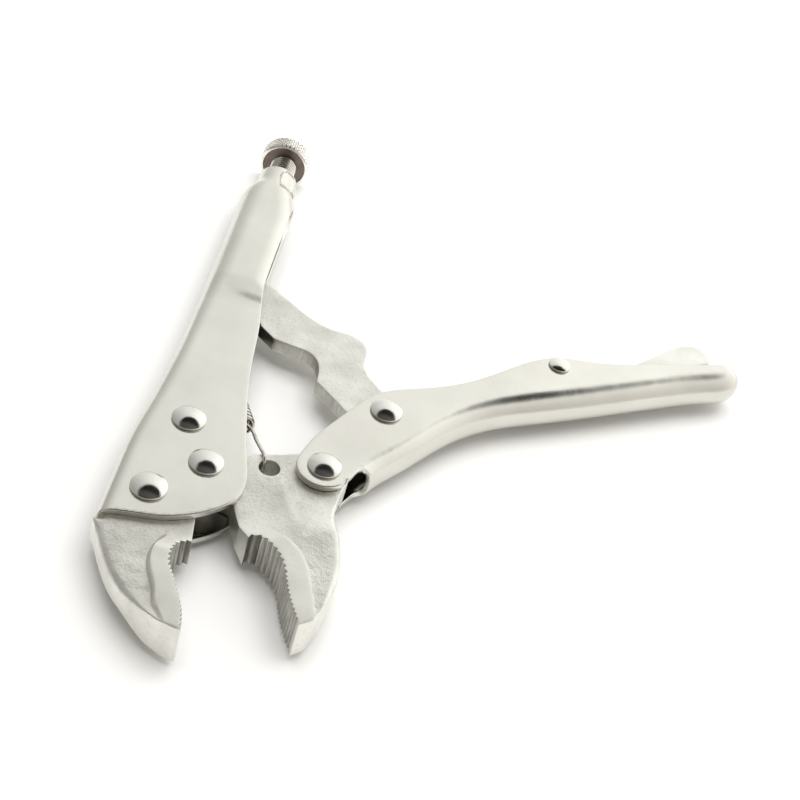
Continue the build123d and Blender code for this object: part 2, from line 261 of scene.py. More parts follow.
def bands(rows):
    """Quads between closed rows of vertex numbers, each row joined to the next."""
    return [np.stack([a, b, np.roll(b, -1), np.roll(a, -1)], 1) for a, b in zip(rows, rows[1:])]


def vertex_normals(verts, tris):
    """Unit normals of the vertices, weighted by the area of the triangles round each."""
    a, b, c = verts[tris[:, 0]], verts[tris[:, 1]], verts[tris[:, 2]]
    face = np.cross(b - a, c - a)
    out = np.zeros_like(verts)
    for k in range(3):
        np.add.at(out, tris[:, k], face)
    return out / np.maximum(np.linalg.norm(out, axis=1), 1e-12)[:, None]


def open_loops(tris):
    """Loops of the edges that belong to one triangle, each in its triangle's direction."""
    seen = {}
    for t in tris:
        for a, b in ((t[0], t[1]), (t[1], t[2]), (t[2], t[0])):
            seen[(int(a), int(b))] = True
    after = {a: b for a, b in seen if (b, a) not in seen}
    loops = []
    while after:
        start = next(iter(after))
        loop, at = [], start
        while at in after:
            loop.append(at)
            at = after.pop(at)
        loops.append(loop)
    return loops


def make_object(name, verts, faces, body, stands_for, materials, sharp=40, face_material=None,
                attribute=None):
    """A finished piece in the row frame, from vertices in working millimetres."""
    mesh = bpy.data.meshes.new(name)
    place = np.asarray(verts, float) * MM + OFFSET
    mesh.from_pydata(place.tolist(), [], [list(map(int, f)) for f in faces])
    for m in materials:
        mesh.materials.append(m)
    if face_material is not None:
        mesh.polygons.foreach_set("material_index", np.asarray(face_material, np.int32))
    for key, values in (attribute or {}).items():
        layer = mesh.attributes.new(key, "FLOAT", "POINT")
        layer.data.foreach_set("value", np.asarray(values, np.float32))
    mesh.validate()
    mesh.polygons.foreach_set("use_smooth", [True] * len(mesh.polygons))
    mesh.set_sharp_from_angle(angle=math.radians(sharp))
    mesh.update()
    obj = bpy.data.objects.new(name, mesh)
    bpy.context.scene.collection.objects.link(obj)
    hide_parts(*stands_for)
    if body:
        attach(obj, body)
    return obj


def folded_sheet(half_verts, half_tris, on_middle, thickness, edge, hole_edge=0.05):
    """Outer skin of one half, made whole across Z = 0 and given its thickness and rounded edges.

    Also returns the painted shade of each vertex: 1 on the inner skin, which is darkened as the shade inside
    the channel.
    """
    count = len(half_verts)
    mirror_index = np.arange(count) + count
    mirror_index[on_middle] = np.where(on_middle)[0]
    mirrored = half_verts * [1, 1, -1]
    verts = np.concatenate([half_verts, mirrored])
    verts[np.where(on_middle)[0], 2] = 0
    tris = np.concatenate([half_tris, mirror_index[half_tris][:, ::-1]])
    used = np.unique(tris)
    again = np.full(len(verts), -1)
    again[used] = np.arange(len(used))
    verts, tris = verts[used], again[tris]
    depth = np.concatenate([thickness, thickness])[used]
    normal = vertex_normals(verts, tris)
    inner = verts - normal * depth[:, None]
    outer_count = len(verts)
    all_verts, faces = [verts, inner], [tris, tris[:, ::-1] + outer_count]
    total = 2 * outer_count
    for loop in open_loops(tris):
        loop = np.array(loop)
        p, n, d = verts[loop], normal[loop], depth[loop]
        along = np.roll(p, -1, axis=0) - np.roll(p, 1, axis=0)
        out = np.cross(along, n)
        out /= np.maximum(np.linalg.norm(out, axis=1), 1e-9)[:, None]
        size = edge if len(loop) > 60 else hole_edge
        rows = [loop]
        sinks = [(push, size * sink) for push, sink in ROUNDING]
        sinks += [(push, d[:, None] - size * sink) for push, sink in reversed(ROUNDING)]
        for push, sink in sinks:
            all_verts.append(p + out * size * push - n * sink)
            rows.append(np.arange(total, total + len(loop)))
            total += len(loop)
        faces += bands([*rows, loop + outer_count])
    inner_skin_shade = np.zeros(total)
    inner_skin_shade[outer_count : 2 * outer_count] = 1.0
    return np.concatenate(all_verts), [list(f) for block in faces for f in block], inner_skin_shade


def forged_solid(outline, height, edge, holes, mark, extra=None, spacing=0.9):
    """A solid between two mirrored tops over an outline.

    height(points) gives the top, edge each outline point's rounding, and mark(vertices) the attributes.
    """
    normal = normals_2d(outline)
    inset = outline - normal * edge[:, None]
    grid = hex_points(inset, spacing)
    if extra is not None:
        extra = extra[inside(extra, inset)]
        gap, _, _ = nearest(extra, inset, closed=True)
        extra = extra[gap > 0.15]
        near = np.array([np.min(np.linalg.norm(extra - g, axis=1)) for g in grid])
        grid = np.concatenate([grid[near > 0.5 * spacing], extra])
    flat, tris = triangulated(inset, around_holes(grid, holes, 0.25), holes)
    top = np.concatenate([flat, height(flat)[:, None]], 1)
    count = len(flat)
    verts, faces = [top, top * [1, 1, -1]], [tris, tris[:, ::-1] + count]
    total = 2 * count
    for ids in map(np.array, open_loops(tris)):
        p = top[ids]
        if any(nearest(p[:1, :2], hole, closed=True)[0][0] < 1e-3 for hole in holes):
            along = np.roll(p, -1, axis=0)[:, :2] - np.roll(p, 1, axis=0)[:, :2]
            out = np.stack([along[:, 1], -along[:, 0]], 1)
            out /= np.maximum(np.linalg.norm(out, axis=1), 1e-9)[:, None]
            size = np.full(len(ids), 0.02)
        else:
            match = np.array([np.argmin(np.linalg.norm(inset - q, axis=1)) for q in p[:, :2]])
            out, size = normal[match], edge[match]
        rows = [ids]
        low = np.minimum(size, p[:, 2] * 0.8)
        for sign, order in ((1, ROUNDING), (-1, ROUNDING[::-1])):
            for push, sink in order:
                q = p.copy()
                q[:, :2] += out * (size * push)[:, None]
                q[:, 2] = sign * (p[:, 2] - low * sink)
                verts.append(q)
                rows.append(np.arange(total, total + len(ids)))
                total += len(ids)
        faces += bands([*rows, ids + count])
    verts = np.concatenate(verts)
    return verts, [list(f) for block in faces for f in block], mark(verts)


def lathe(profile, count=96):
    """Vertices and faces of a profile of (radius, height) turned round the Z axis. Radius 0 makes a pole."""
    verts, rows = [], []
    for radius, z in profile:
        if radius < 1e-6:
            rows.append([len(verts)])
            verts.append((0, 0, z))
        else:
            rows.append(list(range(len(verts), len(verts) + count)))
            verts += [(radius * math.cos(k * math.tau / count), radius * math.sin(k * math.tau / count), z)
                      for k in range(count)]
    faces = []
    for a, b in zip(rows, rows[1:]):
        for k in range(count):
            j = (k + 1) % count
            if len(a) == 1 and len(b) == 1:
                continue
            if len(a) == 1:
                faces.append([a[0], b[j], b[k]][::-1])
            elif len(b) == 1:
                faces.append([a[k], a[j], b[0]])
            else:
                faces.append([a[k], a[j], b[j], b[k]])
    return np.array(verts, float), faces


# ---------------------------------------------------------------- materials


class Nodes:
    """Short calls for building a material's node tree."""

    def __init__(self, tree):
        self.tree = tree

    def add(self, kind, inputs=None, **settings):
        node = self.tree.nodes.new(kind)
        for key, value in settings.items():
            setattr(node, key, value)
        for key, value in (inputs or {}).items():
            self.put(node.inputs[key], value)
        return node

    def put(self, socket, value):
        if isinstance(value, bpy.types.NodeSocket):
            self.tree.links.new(value, socket)
        else:
            socket.default_value = value

    def math(self, operation, a, b=0.0, clamp=False):
        node = self.add("ShaderNodeMath", {0: a, 1: b}, operation=operation, use_clamp=clamp)
        return node.outputs[0]

    def mix(self, share, a, b):
        node = self.add("ShaderNodeMix", {"Factor": share, 6: a, 7: b}, data_type="RGBA")
        return node.outputs[2]

    def ramp(self, value, low, high, out_low=0.0, out_high=1.0):
        node = self.add("ShaderNodeMapRange", {"Value": value, "From Min": low, "From Max": high,
                                               "To Min": out_low, "To Max": out_high})
        return node.outputs[0]

    def noise(self, vector, scale, detail=3.0, roughness=0.55):
        node = self.add("ShaderNodeTexNoise", {"Vector": vector, "Scale": scale, "Detail": detail,
                                               "Roughness": roughness})
        return node.outputs["Fac"]

    def attribute(self, name):
        return self.add("ShaderNodeAttribute", attribute_name=name).outputs["Fac"]

    def scaled(self, vector, scale, turn=0.0):
        node = self.add("ShaderNodeMapping", {"Vector": vector, "Scale": scale, "Rotation": (0, 0, turn)})
        return node.outputs[0]


def material(name, build):
    """A Principled material whose inputs build() wires up from the object's own coordinates."""
    m = bpy.data.materials.new(name)
    m.use_nodes = True
    m.node_tree.nodes.clear()
    k = Nodes(m.node_tree)
    shader = k.add("ShaderNodeBsdfPrincipled")
    output = k.add("ShaderNodeOutputMaterial")
    m.node_tree.links.new(shader.outputs[0], output.inputs[0])
    position = k.add("ShaderNodeTexCoord").outputs["Object"]
    build(k, shader, position)
    return m


def metal(k, shader, colour, dark, rough, rough_spread, tone, height):
    """A metal with a mottled tone, uneven roughness and a fine bump. Tones over 1 darken it further."""
    shader.inputs["Metallic"].default_value = 1.0
    toned = k.mix(k.math("MINIMUM", tone, 1.0), colour, dark)
    deep = k.math("MULTIPLY", k.math("SUBTRACT", tone, 1.0, True), 0.5)
    k.put(shader.inputs["Base Color"], k.mix(deep, toned, (0.045, 0.042, 0.038, 1)))
    k.put(shader.inputs["Roughness"], k.ramp(rough_spread, 0.3, 0.7, rough[0], rough[1]))
    bump = k.add("ShaderNodeBump", {"Strength": 1.0, "Distance": 1.0, "Height": height})
    k.put(shader.inputs["Normal"], bump.outputs[0])


def build_sheet(k, shader, position):
    cloud = k.noise(position, 45.0, 4.0)
    fine = k.noise(position, 2600.0, 2.0, 0.5)
    wave = k.noise(position, 170.0, 2.0)
    grain = k.math("ADD", k.math("MULTIPLY", fine, 0.000034), k.math("MULTIPLY", wave, 0.00006))
    speck_grain = k.noise(position, 650.0, 3.0)
    speck = k.ramp(speck_grain, 0.70, 0.78)
    tone = k.math("ADD", k.ramp(cloud, 0.35, 0.75, 0.0, 0.35), k.math("MULTIPLY", speck, 0.25))
    crease_shade = k.attribute("crease_shade")
    inner_skin_shade = k.attribute("inner_skin_shade")
    # painted shade: the inner skin of the folded sheet is darkened nearly to black, as the shade inside the
    # channel
    tone = k.math("ADD", tone, k.math("MULTIPLY", inner_skin_shade, 2.3))
    # painted shade: the neck tab's border and the valley before it are darkened, streaked by the speck grain
    tone = k.math("ADD", tone, k.math("MULTIPLY", crease_shade, k.ramp(speck_grain, 0.3, 0.6, 1.2, 3.2)))
    metal(k, shader, (0.675, 0.668, 0.62, 1), (0.53, 0.52, 0.48, 1), (0.13, 0.20), cloud, tone, grain)


def build_forged(k, shader, position):
    pad = k.attribute("pad")
    teeth = k.attribute("teeth")
    cloud = k.noise(position, 90.0, 4.0)
    fine = k.noise(position, 1900.0, 3.0, 0.6)
    coarse = k.noise(position, 800.0, 3.0, 0.6)
    lines = k.noise(k.scaled(position, (500.0, 6000.0, 500.0), 0.10), 1.0, 2.0)
    drag = k.noise(k.scaled(position, (2600.0, 2600.0, 160.0)), 1.0, 2.0)
    rough_height = k.math("ADD", k.math("MULTIPLY", fine, 0.00008), k.math("MULTIPLY", coarse, 0.00014))
    ground = k.math("MULTIPLY", lines, 0.000018)
    cut = k.math("MULTIPLY", drag, 0.00009)
    keep = k.math("SUBTRACT", 1.0, pad)
    not_teeth = k.math("SUBTRACT", 1.0, teeth)
    height = k.math("ADD", k.math("MULTIPLY", rough_height, keep), k.math("MULTIPLY", ground, pad))
    height = k.math("ADD", k.math("MULTIPLY", height, not_teeth), k.math("MULTIPLY", cut, teeth))
    tone = k.math("ADD", k.ramp(cloud, 0.35, 0.8, 0.0, 0.45),
                  k.ramp(coarse, 0.55, 0.75, 0.0, 0.35), True)
    tone = k.math("MULTIPLY", tone, k.math("SUBTRACT", 1.0, k.math("MULTIPLY", pad, 0.6)))
    # painted shade: tooth walls and the link's side walls darkened towards black; the drag-line streaks in
    # it are the cut finish
    tone = k.math("ADD", tone, k.math("MULTIPLY", teeth, k.ramp(drag, 0.3, 0.7, 1.5, 3.0)))
    metal(k, shader, (0.84, 0.835, 0.785, 1), (0.50, 0.49, 0.45, 1), (0.38, 0.50), cloud, tone, height)


def build_rivet(k, shader, position):
    cloud = k.noise(position, 300.0, 3.0)
    scratch = k.noise(k.scaled(position, (900.0, 250.0, 900.0), 0.6), 1.0, 3.0)
    tone = k.ramp(cloud, 0.55, 0.8, 0.0, 0.4)
    grain = k.math("ADD", k.math("MULTIPLY", scratch, 0.00002), k.math("MULTIPLY", cloud, 0.00004))
    metal(k, shader, (0.70, 0.695, 0.66, 1), (0.52, 0.515, 0.48, 1), (0.08, 0.16), cloud, tone, grain)


def build_screw(k, shader, position):
    groove_shade = k.attribute("groove_shade")
    cloud = k.noise(position, 260.0, 3.0)
    fine = k.noise(k.scaled(position, (900.0, 3500.0, 900.0)), 1.0, 2.0)
    # painted shade: the thread's grooves and the knurl's pits are darkened
    tone = k.math("ADD", k.ramp(cloud, 0.4, 0.8, 0.0, 0.5), k.math("MULTIPLY", groove_shade, 3.0))
    metal(k, shader, (0.95, 0.93, 0.88, 1), (0.62, 0.58, 0.52, 1), (0.22, 0.32), cloud, tone,
          k.math("MULTIPLY", fine, 0.00003))


# painted shade: a dark brown for the knob's face towards the neck, standing in for the neck's shade and its
# warm reflection
def build_underside(k, shader, position):
    cloud = k.noise(position, 400.0, 3.0)
    fine = k.noise(position, 2200.0, 2.0)
    metal(k, shader, (0.30, 0.25, 0.225, 1), (0.22, 0.18, 0.16, 1), (0.38, 0.5), cloud, cloud,
          k.math("MULTIPLY", fine, 0.00004))


def build_wire(k, shader, position):
    cloud = k.noise(position, 500.0, 3.0)
    metal(k, shader, (0.72, 0.69, 0.63, 1), (0.40, 0.36, 0.31, 1), (0.20, 0.32), cloud,
          k.ramp(cloud, 0.4, 0.8), k.math("MULTIPLY", cloud, 0.00002))


def build_floor(k, shader, position):
    cloud = k.noise(position, 6.0, 3.0)
    colour = k.mix(k.ramp(cloud, 0.3, 0.7), (0.90, 0.90, 0.885, 1), (0.92, 0.92, 0.91, 1))
    k.put(shader.inputs["Base Color"], colour)
    shader.inputs["Roughness"].default_value = 0.9


# ---------------------------------------------------------------- the six metals

SHEET_METAL = material("satin_nickel_sheet", build_sheet)
FORGED = material("forged_nickel", build_forged)
RIVET_METAL = material("polished_nickel_rivet", build_rivet)
SCREW_METAL = material("screw_nickel", build_screw)
KNOB_UNDERSIDE = material("knob_underside_painted_shade", build_underside)
WIRE_METAL = material("spring_wire", build_wire)


# ---------------------------------------------------------------- fixed handle

# Y, X of the spine, half thickness, fold radius, X of the far side
FIXED_STATIONS = np.array([
    (-32.0, -24.8, CHANNEL_HALF, 4.5, 18.0),
    (0.0, -25.0, CHANNEL_HALF, 4.6, 18.0),
    (30.0, -22.9, CHANNEL_HALF, 5.0, 17.0),
    (58.0, -21.7, CHANNEL_HALF, 5.4, 16.5),
    (76.0, -21.7, 6.68, 6.0, 15.5),
    (83.0, -21.8, 7.1, 6.8, 8.0),
    (92.0, -21.9, 7.9, 7.7, 1.5),
    (115.0, -22.1, 7.9, 7.8, 1.3),
    (131.5, -22.3, 7.9, 7.8, 1.0),
    (136.5, -22.3, 7.9, 7.8, 0.3),
    (140.5, -22.3, 7.9, 7.8, -0.5),
    (143.5, -22.3, 7.9, 7.8, -1.2),
    (146.0, -22.2, 7.9, 7.8, -1.8),
    (148.0, -22.0, 7.85, 7.75, -2.15),
    (150.5, -21.4, 7.75, 7.65, -3.1),
    (153.8, -19.8, 7.55, 7.45, -4.35),
    (156.5, -19.3, 7.5, 7.4, -4.3),
    (163.5, -19.3, 7.5, 7.4, -4.3),
])

FIXED_EDGE = [(-26.5, -29.2), (-18.1, -26.9), (-7.1, -24.9), (0.7, -21.5), (8.1, -15.8), (12.0, -10.2),
              (13.0, -3.6), (11.2, 5.7), (7.3, 22.5), (3.3, 45.6), (0.7, 71.4), (-1.6, 86.0), (-2.1, 98.0),
              (-2.1, 118.0), (-2.05, 133.0), (-2.05, 148.6)]
FIXED_FRONT = -28.75
SEAM_HALF = 0.10
# from SEAM_START on the two lips meet, and the sheet is thicker in the neck, which ends at NECK_END
SEAM_START = 149.0
NECK_END = 163.5
# the X where nothing is cut off the section, so that the lips run on until they meet
PAST_FAR_SIDE = 9.0


def smooth_table(table, x):
    """The table's columns at x, along monotone cubic curves."""
    t = table[:, 0]
    out = []
    h = np.diff(t)
    i = np.clip(np.searchsorted(t, x, side="right") - 1, 0, len(t) - 2)
    u = np.clip((x - t[i]) / h[i], 0, 1)
    for column in table[:, 1:].T:
        d = np.diff(column) / h
        m = np.zeros(len(t))
        for k in range(1, len(t) - 1):
            if d[k - 1] * d[k] > 0:
                w1, w2 = 2 * h[k] + h[k - 1], h[k] + 2 * h[k - 1]
                m[k] = (w1 + w2) / (w1 / d[k - 1] + w2 / d[k])
        m[0], m[-1] = d[0], d[-1]
        y0, y1, m0, m1 = column[i], column[i + 1], m[i] * h[i], m[i + 1] * h[i]
        out.append(y0 * (2 * u**3 - 3 * u**2 + 1) + m0 * (u**3 - 2 * u**2 + u)
                   + y1 * (-2 * u**3 + 3 * u**2) + m1 * (u**3 - u**2))
    return out


def fixed_lengths(y):
    """The section's numbers at y, with the lengths of its wall, fold and flat."""
    x, half, radius, far = smooth_table(FIXED_STATIONS, y)
    wall = half - radius
    fold = radius * math.pi / 2
    flat = np.maximum(far - x - 2 * radius, 0.0)
    return x, radius, far, wall, fold, flat


def fixed_point(y, t):
    """Position on the fixed handle's outer skin, t being the length round the section from its spine."""
    x, radius, _, wall, fold, flat = fixed_lengths(y)
    a1 = np.clip((t - wall) / radius, 0, math.pi / 2)
    a2 = np.clip((t - wall - fold - flat) / radius, 0, math.pi / 2)
    along = np.clip(t - wall - fold, 0, flat)
    px = x + radius * (1 - np.cos(a1)) + along + radius * np.sin(a2)
    pz = np.clip(t, 0, wall) + radius * np.sin(a1) - radius * (1 - np.cos(a2))
    return np.stack([px, y, pz], 1)


def fixed_edge_t(y, edge_x):
    """The length round the section where the handle's edge is, from the edge's X."""
    x, radius, far, wall, fold, flat = fixed_lengths(y)
    into = edge_x - x
    on_fold = wall + radius * np.arccos(np.clip(1 - into / radius, -1, 1))
    on_flat = wall + fold + into - radius
    on_far = wall + fold + flat + radius * np.arcsin(np.clip((edge_x - (far - radius)) / radius, 0, 1))
    t = np.where(into < radius, on_fold, np.where(edge_x < far - radius, on_flat, on_far))
    closed = wall + fold + flat + radius * np.arccos(np.clip((SEAM_HALF - wall) / radius, -1, 1))
    return np.minimum(t, closed)


def fixed_handle():
    """One folded blank, worked out in a plan of (y, length round the section) and mirrored at the spine."""
    edge = spline(FIXED_EDGE, 0.8)
    edge = edge[edge[:, 1] > FIXED_FRONT + 0.15]
    rest_y = np.append(np.arange(SEAM_START, NECK_END - 0.3, 0.75), NECK_END)
    ys = np.concatenate([edge[:, 1], rest_y])
    xs = np.concatenate([edge[:, 0], np.full(len(rest_y), PAST_FAR_SIDE)])
    ts = fixed_edge_t(ys, xs)
    wall = fixed_lengths(np.array([FIXED_FRONT]))[3][0]
    front = line((FIXED_FRONT, 0.0), (FIXED_FRONT, wall), step=0.7)
    side = np.stack([ys, ts], 1)
    end = line((NECK_END, ts[-1]), (NECK_END, 0.0), step=0.8)
    spine = line((NECK_END, 0.0), (FIXED_FRONT, 0.0), step=1.0)
    loop = anticlockwise(chain(front, side, end, spine))
    open_side = loop[:, 1] > 1e-6
    corner = (~open_side) & (np.roll(open_side, 1) | np.roll(open_side, -1))
    inset = loop.copy()
    inset[open_side] -= normals_2d(loop)[open_side] * SHEET_ROUNDING
    inset[corner, 0] -= np.sign(inset[corner, 0]) * SHEET_ROUNDING
    inset[:, 1] = np.maximum(inset[:, 1], 0)
    holes = []
    for centre in (JAW_PIVOT, JAW_RIVET_REAR, JAW_RIVET_FRONT):
        ring = circle(centre, RIVET_HOLE)
        holes.append(np.stack([ring[:, 1], fixed_edge_t(ring[:, 1], ring[:, 0])], 1))
    # finer points where the neck's seam is pinched
    grid = around_holes(hex_points(inset, 1.0), holes, 0.3)
    pinched = (grid[:, 0] > SEAM_START) & (grid[:, 1] > 8.0)
    fine = hex_points(inset, 0.42)
    fine = fine[(fine[:, 0] > SEAM_START + 0.4) & (fine[:, 1] > 8.4)]
    flat, tris = triangulated(inset, np.concatenate([grid[~pinched], fine]), holes)
    middle = flat[:, 1] < 1e-4
    verts = raised_shoulder(fixed_point(flat[:, 0], flat[:, 1]))
    depth = SHEET + 0.42 * smooth((flat[:, 0] - SEAM_START + 2.0) / 7.0)
    # (y, t) runs clockwise seen from outside on the +Z half, so the triangles turn over
    whole, faces, inner_skin_shade = folded_sheet(verts, tris[:, ::-1], middle, depth, SHEET_ROUNDING)
    whole, crease_shade = pinched_neck(whole)
    return make_object("fixed_handle_sheet", whole, faces, "fixed_handle",
                       ["fixed_handle"], [SHEET_METAL], 50, attribute={"crease_shade": crease_shade, "inner_skin_shade": inner_skin_shade})


def raised_shoulder(verts):
    """The quick rise beside the mouth where the flat plate turns into the tube."""
    x, y, z = verts.T
    past_front = y - 79.0 + 0.12 * (x + 3.0)
    near_edge = smooth((x + 15.0) / 9.0)
    rise = 0.36 * near_edge * (smooth(past_front / 5.0) - smooth(past_front / 20.0))
    out = verts.copy()
    out[:, 2] = np.where(z > 4.0, z + rise, z)
    return out


def pinched_neck(verts):
    """The neck's seam pinched into a raised, flattened tab on each side of the seam.

    Also returns the painted crease shade of each vertex: darkest along the tab's border, less in the valley
    before it, faint on the tab.
    """
    outer_skin, tab_direction, tab_reach = 7.2, 38.0, 7.05
    x, y, z = verts[:, 0] - SCREW_X, verts[:, 1], np.abs(verts[:, 2])
    reach = np.hypot(x, z)
    turn = np.degrees(np.arctan2(x, z))
    ragged = np.array([noise.noise(Vector((a * 0.55, b * 0.09, 2.3))) for a, b in zip(y, turn)])
    left = 11.0 + 14.0 * np.clip((y - 158.0) / 4.0, 0, 1) ** 2 - 3.0 * (y - 156.0) / 4.0 + 5.0 * ragged
    low = 153.2 + 1.2 * smooth((turn - 20) / 70.0) + 0.5 * ragged
    before_end = smooth((NECK_END - 0.75 - y) / 0.4)
    inside_tab = smooth((turn - left) / 3.0) * smooth((y - low) / 0.45) * before_end * (reach > outer_skin)
    flat_reach = tab_reach / np.cos(np.radians(np.clip(np.abs(turn - tab_direction), 0, 30)))
    target = np.minimum(reach + 0.38, flat_reach)
    valley = (reach > outer_skin) * smooth((turn - 8) / 12.0) * np.exp(-(((y - low + 1.2) / 1.0) ** 2))
    pinched = reach + (target - reach) * inside_tab - 0.30 * valley * (1 - inside_tab)
    scale = pinched / np.maximum(reach, 1e-6)
    on_neck = y > 150
    out = verts.copy()
    out[:, 0] = np.where(on_neck, SCREW_X + x * scale, verts[:, 0])
    out[:, 2] = np.where(on_neck, verts[:, 2] * scale, verts[:, 2])
    # painted shade: darkest on the tab's border, then the valley, a little on the tab
    border = (4 * inside_tab * (1 - inside_tab)) ** 1.5
    crease_shade = 1.6 * border + 0.8 * valley * (1 - inside_tab) + 0.22 * inside_tab
    return out, np.where(on_neck, crease_shade, 0.0)


# ---------------------------------------------------------------- movable handle

# X and Y of the spine's outer line, half thickness and fold radius
MOVABLE_SPINE = [(46.0, 7.6, 6.65, 5.0), (48.8, 15.2, 6.65, 5.0), (57.6, 28.0, 6.65, 5.2),
                 (71.4, 46.9, 6.65, 5.6), (84.6, 59.2, 6.9, 6.4), (101.4, 69.5, 7.3, 7.1),
                 (122.6, 82.2, 7.3, 7.2), (145.5, 96.4, 7.3, 7.2), (158.5, 103.9, 7.3, 7.2),
                 (165.0, 107.2, 7.3, 7.2), (168.9, 109.9, 7.3, 7.2), (171.4, 113.2, 7.3, 7.2),
                 (172.1, 116.6, 7.3, 7.2), (171.4, 119.1, 7.3, 7.2), (170.0, 121.3, 7.3, 7.2)]
MOVABLE_FRONT = [(25.4, 12.8), (27.6, 21.0), (35.8, 37.7), (44.5, 51.4), (60.7, 61.1), (76.8, 72.4),
                 (93.1, 88.5), (103.6, 95.2), (114.5, 97.7), (132.8, 104.0), (146.0, 109.9),
                 (157.0, 114.6), (163.8, 117.7), (170.0, 121.3)]


def movable_handle():
    """One folded blank, with its outline worked out flat beyond the spine and mirrored at it."""
    rows = np.array(MOVABLE_SPINE)
    spine = spline(rows[:, :2], 0.5)
    key = np.concatenate([[0], np.cumsum(np.linalg.norm(np.diff(rows[:, :2], axis=0), axis=1))])
    run = np.concatenate([[0], np.cumsum(np.linalg.norm(np.diff(spine, axis=0), axis=1))])
    share = run / run[-1] * key[-1]
    half = np.interp(share, key, rows[:, 2])
    radius = np.interp(share, key, rows[:, 3])
    kernel = np.ones(31) / 31
    half = np.convolve(np.pad(half, 15, "edge"), kernel, "valid")
    radius = np.convolve(np.pad(radius, 15, "edge"), kernel, "valid")
    ahead = np.gradient(spine, axis=0)
    ahead /= np.linalg.norm(ahead, axis=1)[:, None]
    inward = np.stack([-ahead[:, 1], ahead[:, 0]], 1)
    reach = (math.pi / 2 - 1) * radius + (half - radius)
    outer = spine - inward * reach[:, None]

    def section_at(points, curve):
        """Gap to the curve, and the fold radius, half thickness, spine point and inward normal there."""
        gap, k, t = nearest(points, curve)
        r = radius[k] + (radius[k + 1] - radius[k]) * t
        h = half[k] + (half[k + 1] - half[k]) * t
        foot = spine[k] + (spine[k + 1] - spine[k]) * t[:, None]
        n = inward[k] + (inward[k + 1] - inward[k]) * t[:, None]
        return gap, r, h, foot, n / np.linalg.norm(n, axis=1)[:, None]

    def plan_to_flat(points):
        gap, r, h, foot, n = section_at(points, spine)
        length = (h - r) + r * np.arccos(np.clip(1 - gap / r, -1, 1))
        start = foot - n * ((math.pi / 2 - 1) * r + (h - r))[:, None]
        return np.where((gap < r)[:, None], start + n * length[:, None], points)

    def flat_to_skin(points):
        gap, r, h, foot, n = section_at(points, outer)
        wall = h - r
        angle = np.clip((gap - wall) / r, 0, math.pi / 2)
        plan = foot + n * (r * (1 - np.cos(angle)))[:, None]
        z = np.clip(gap, 0, wall) + r * np.sin(angle)
        on_plate = gap > wall + r * math.pi / 2
        plan = np.where(on_plate[:, None], points, plan)
        return np.concatenate([plan, np.where(on_plate, h, z)[:, None]], 1)

    front = spline(MOVABLE_FRONT, 0.8)
    ear = arc((42.1, 9.9), (32.9, 3.3), (25.4, 12.8))
    notch = spline([(48.75, 15.1), (47.9, 15.45), (46.8, 15.7), (45.3, 15.2), (44.1, 13.7), (43.2, 11.9),
                    (42.1, 9.9)], 0.35)
    # the blank's middle line, which the outline follows from the closed end back to the notch
    notch_segment = nearest(notch[:1], spine)[1][0]
    middle_line = outer[notch_segment + 1 :][::-1][::2]
    loop = chain(plan_to_flat(notch), plan_to_flat(ear), plan_to_flat(front), middle_line)
    loop = anticlockwise(loop)
    open_side = nearest(loop, outer)[0] >= 1e-3
    inset = loop.copy()
    inset[open_side] -= normals_2d(loop)[open_side] * SHEET_ROUNDING
    holes = [circle(HANDLE_PIVOT, RIVET_HOLE), circle(LINK_PIVOT, RIVET_HOLE),
             circle(LEVER_PIVOT, LEVER_HOLE, 24)]
    flat, tris = triangulated(inset, around_holes(hex_points(inset, 1.0), holes, 0.3), holes)
    middle = nearest(flat, outer)[0] < 2e-3
    depth = np.full(len(flat), SHEET)
    whole, faces, inner_skin_shade = folded_sheet(flat_to_skin(flat), tris, middle, depth, SHEET_ROUNDING)
    return make_object("movable_handle_sheet", whole, faces, "movable_handle",
                       ["movable_handle"], [SHEET_METAL], 50, attribute={"inner_skin_shade": inner_skin_shade})


# ---------------------------------------------------------------- jaws


# roundings of a toothed edge and of a plain one
TOOTH_EDGE = 0.06
PLAIN_EDGE = 0.3


def ring_points(curve, offsets):
    """Points beside a curve, at several distances to its left."""
    normal = -normals_2d(curve)
    normal[0], normal[-1] = normal[1], normal[-2]
    return np.concatenate([curve + normal * d for d in offsets])


def lumps(points, size, seed):
    """Smooth noise over the plan, with lumps of about the size given."""
    return np.array([noise.noise(Vector((p[0] / size, p[1] / size, seed))) for p in points])


def distance(points, centre):
    return np.hypot(points[:, 0] - centre[0], points[:, 1] - centre[1])


def on_curves(points, curves, within):
    """Which points lie on one of the curves in plan."""
    return np.min([nearest(points[:, :2], curve)[0] for curve in curves], axis=0) < within


def softened(edge, teeth, times):
    """Roundings blended along the outline, apart from the teeth's."""
    kernel = np.array([0.25, 0.5, 0.25])
    for _ in range(times):
        edge = np.where(teeth, TOOTH_EDGE, np.convolve(np.pad(edge, 1, "wrap"), kernel, "valid"))
    return edge


def pad_share(points, border, loop, width):
    """From 0 on the forged web to 1 on the ground pad, across the border's width."""
    gap, _, _ = nearest(points[:, :2], border)
    side = np.where(inside(points[:, :2], loop), gap, -gap)
    return smooth(side / width + 0.5)


def tooth_wall_shade(verts, *rows):
    """How dark the tooth walls are painted: from 0.45 on the teeth's tips to 1 at their roots, painted shade
    deepening into the roots, fading out at the jaw's tip.
    """
    roots = np.concatenate([row[1::2] for row in rows])
    gap = np.min(np.linalg.norm(verts[:, None, :2] - roots, axis=2), axis=1)
    tip = rows[-1][-1] if rows[-1][-1][1] < rows[-1][0][1] else rows[-1][0]
    from_tip = np.linalg.norm(verts[:, :2] - tip, axis=1)
    return (0.45 + 0.55 * np.clip(1 - gap / 0.9, 0, 1)) * smooth((from_tip - 0.6) / 1.2)


